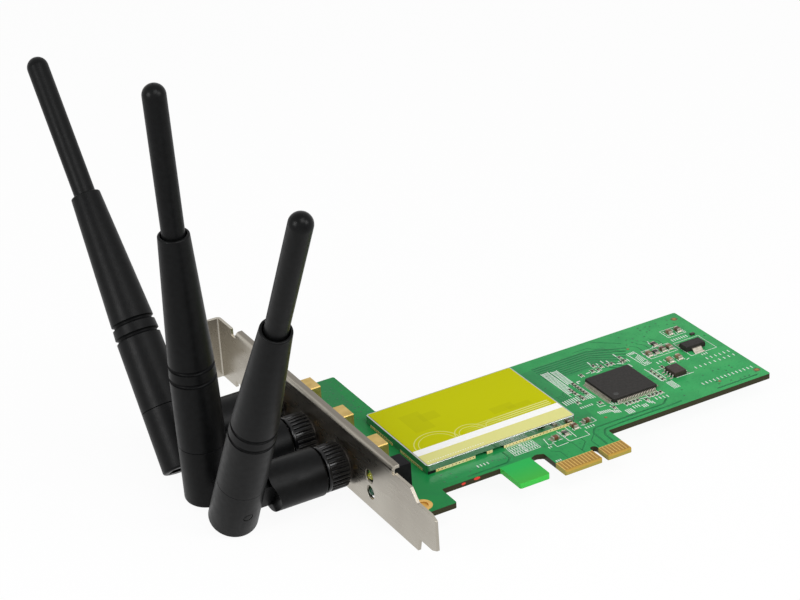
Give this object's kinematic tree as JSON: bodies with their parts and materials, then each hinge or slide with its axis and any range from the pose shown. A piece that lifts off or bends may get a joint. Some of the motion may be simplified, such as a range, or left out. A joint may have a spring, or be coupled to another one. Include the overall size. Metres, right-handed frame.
{
  "type": "pci express wireless network card",
  "caption": "Expansion-slot wireless network card: green board with a shielded radio and a folded steel bracket that carries swivelling, tilting rod antennas.",
  "frame": {"origin": "edge connector datum: middle of the key notch, on the contact edge, half way through the board", "axes": "+X along the card away from the bracket, +Y from the contact edge to the board's far edge, +Z out of the component side"},
  "size_m": [0.1597, 0.1624, 0.1207],
  "materials": {
    "solder_mask": "green solder mask with a soft gloss",
    "gold": "gold flash over nickel",
    "bracket_steel": "satin nickel plate",
    "tin": "bright tin plate",
    "label": "printed film sticker",
    "chip_black": "moulded epoxy",
    "lamp_black": "moulded nylon",
    "lamp_lens": "tinted clear epoxy",
    "capacitor_brown": "fired ceramic",
    "resistor_dark": "glazed film on ceramic",
    "white_insulator": "white fluoropolymer",
    "antenna_black": "black moulding with a fine satin texture",
    "nut_black": "glossy black moulding",
    "pin_black": "black moulded pin"
  },
  "bodies": {
    "card": {"circuit_board": "solder_mask", "contact_fingers": "gold", "hole_plating": "gold", "bracket": "bracket_steel", "antenna_jack_1": "gold", "antenna_jack_2": "gold", "antenna_jack_3": "gold", "jack_insulators": "white_insulator", "jack_contacts": "gold", "jack_washers": "tin", "jack_nuts": "gold", "shield_cover": "tin", "shield_label": "label", "radio_transceiver": "chip_black", "front_end_chips": "chip_black", "reference_crystal": "tin", "interface_chip": "chip_black", "interface_chip_leads": "tin", "memory_chip": "chip_black", "memory_chip_leads": "tin", "voltage_regulator": "chip_black", "voltage_regulator_leads": "tin", "lamp_block": "lamp_black", "status_lamp_lower": "lamp_lens", "status_lamp_upper": "lamp_lens", "capacitor_bodies": "capacitor_brown", "capacitor_ends": "tin", "resistor_bodies": "resistor_dark", "resistor_ends": "tin", "protection_diode": "chip_black"},
    "antenna_nut_1": {"coupling_nut_1": "nut_black"},
    "antenna_base_1": {"antenna_plug_1": "gold", "hinge_barrel_1": "antenna_black"},
    "antenna_mast_1": {"mast_sleeve_1": "antenna_black", "hinge_pin_1": "pin_black", "mast_rod_1": "antenna_black", "radiator_1": "gold"},
    "antenna_nut_2": {"coupling_nut_2": "nut_black"},
    "antenna_base_2": {"antenna_plug_2": "gold", "hinge_barrel_2": "antenna_black"},
    "antenna_mast_2": {"mast_sleeve_2": "antenna_black", "hinge_pin_2": "pin_black", "mast_rod_2": "antenna_black", "radiator_2": "gold"},
    "antenna_nut_3": {"coupling_nut_3": "nut_black"},
    "antenna_base_3": {"antenna_plug_3": "gold", "hinge_barrel_3": "antenna_black"},
    "antenna_mast_3": {"mast_sleeve_3": "antenna_black", "hinge_pin_3": "pin_black", "mast_rod_3": "antenna_black", "radiator_3": "gold"}
  },
  "joints": [
    {"name": "swivel_1", "type": "hinge", "parent": "card", "child": "antenna_base_1", "pos_m": [-0.08945, 0.0326, 0.00396], "axis": [-1, 0, 0], "range_deg": [-62, 13]},
    {"name": "tilt_1", "type": "hinge", "parent": "antenna_base_1", "child": "antenna_mast_1", "pos_m": [-0.08945, 0.0326, 0.00396], "axis": [0, -0.8821, -0.471], "range_deg": [0, 90]},
    {"name": "nut_turn_1", "type": "hinge", "parent": "card", "child": "antenna_nut_1", "pos_m": [-0.08945, 0.0326, 0.00396], "axis": [1, 0, 0], "continuous": true},
    {"name": "swivel_2", "type": "hinge", "parent": "card", "child": "antenna_base_2", "pos_m": [-0.08945, 0.0512, 0.00396], "axis": [-1, 0, 0], "range_deg": [-7, 20]},
    {"name": "tilt_2", "type": "hinge", "parent": "antenna_base_2", "child": "antenna_mast_2", "pos_m": [-0.08945, 0.0512, 0.00396], "axis": [0, -0.9966, -0.0819], "range_deg": [-3.2, 86.8]},
    {"name": "nut_turn_2", "type": "hinge", "parent": "card", "child": "antenna_nut_2", "pos_m": [-0.08945, 0.0512, 0.00396], "axis": [1, 0, 0], "continuous": true},
    {"name": "swivel_3", "type": "hinge", "parent": "card", "child": "antenna_base_3", "pos_m": [-0.08945, 0.0698, 0.00396], "axis": [-1, 0, 0], "range_deg": [-20, 50]},
    {"name": "tilt_3", "type": "hinge", "parent": "antenna_base_3", "child": "antenna_mast_3", "pos_m": [-0.08945, 0.0698, 0.00396], "axis": [0, -0.7716, 0.6361], "range_deg": [0, 90]},
    {"name": "nut_turn_3", "type": "hinge", "parent": "card", "child": "antenna_nut_3", "pos_m": [-0.08945, 0.0698, 0.00396], "axis": [1, 0, 0], "continuous": true}
  ]
}
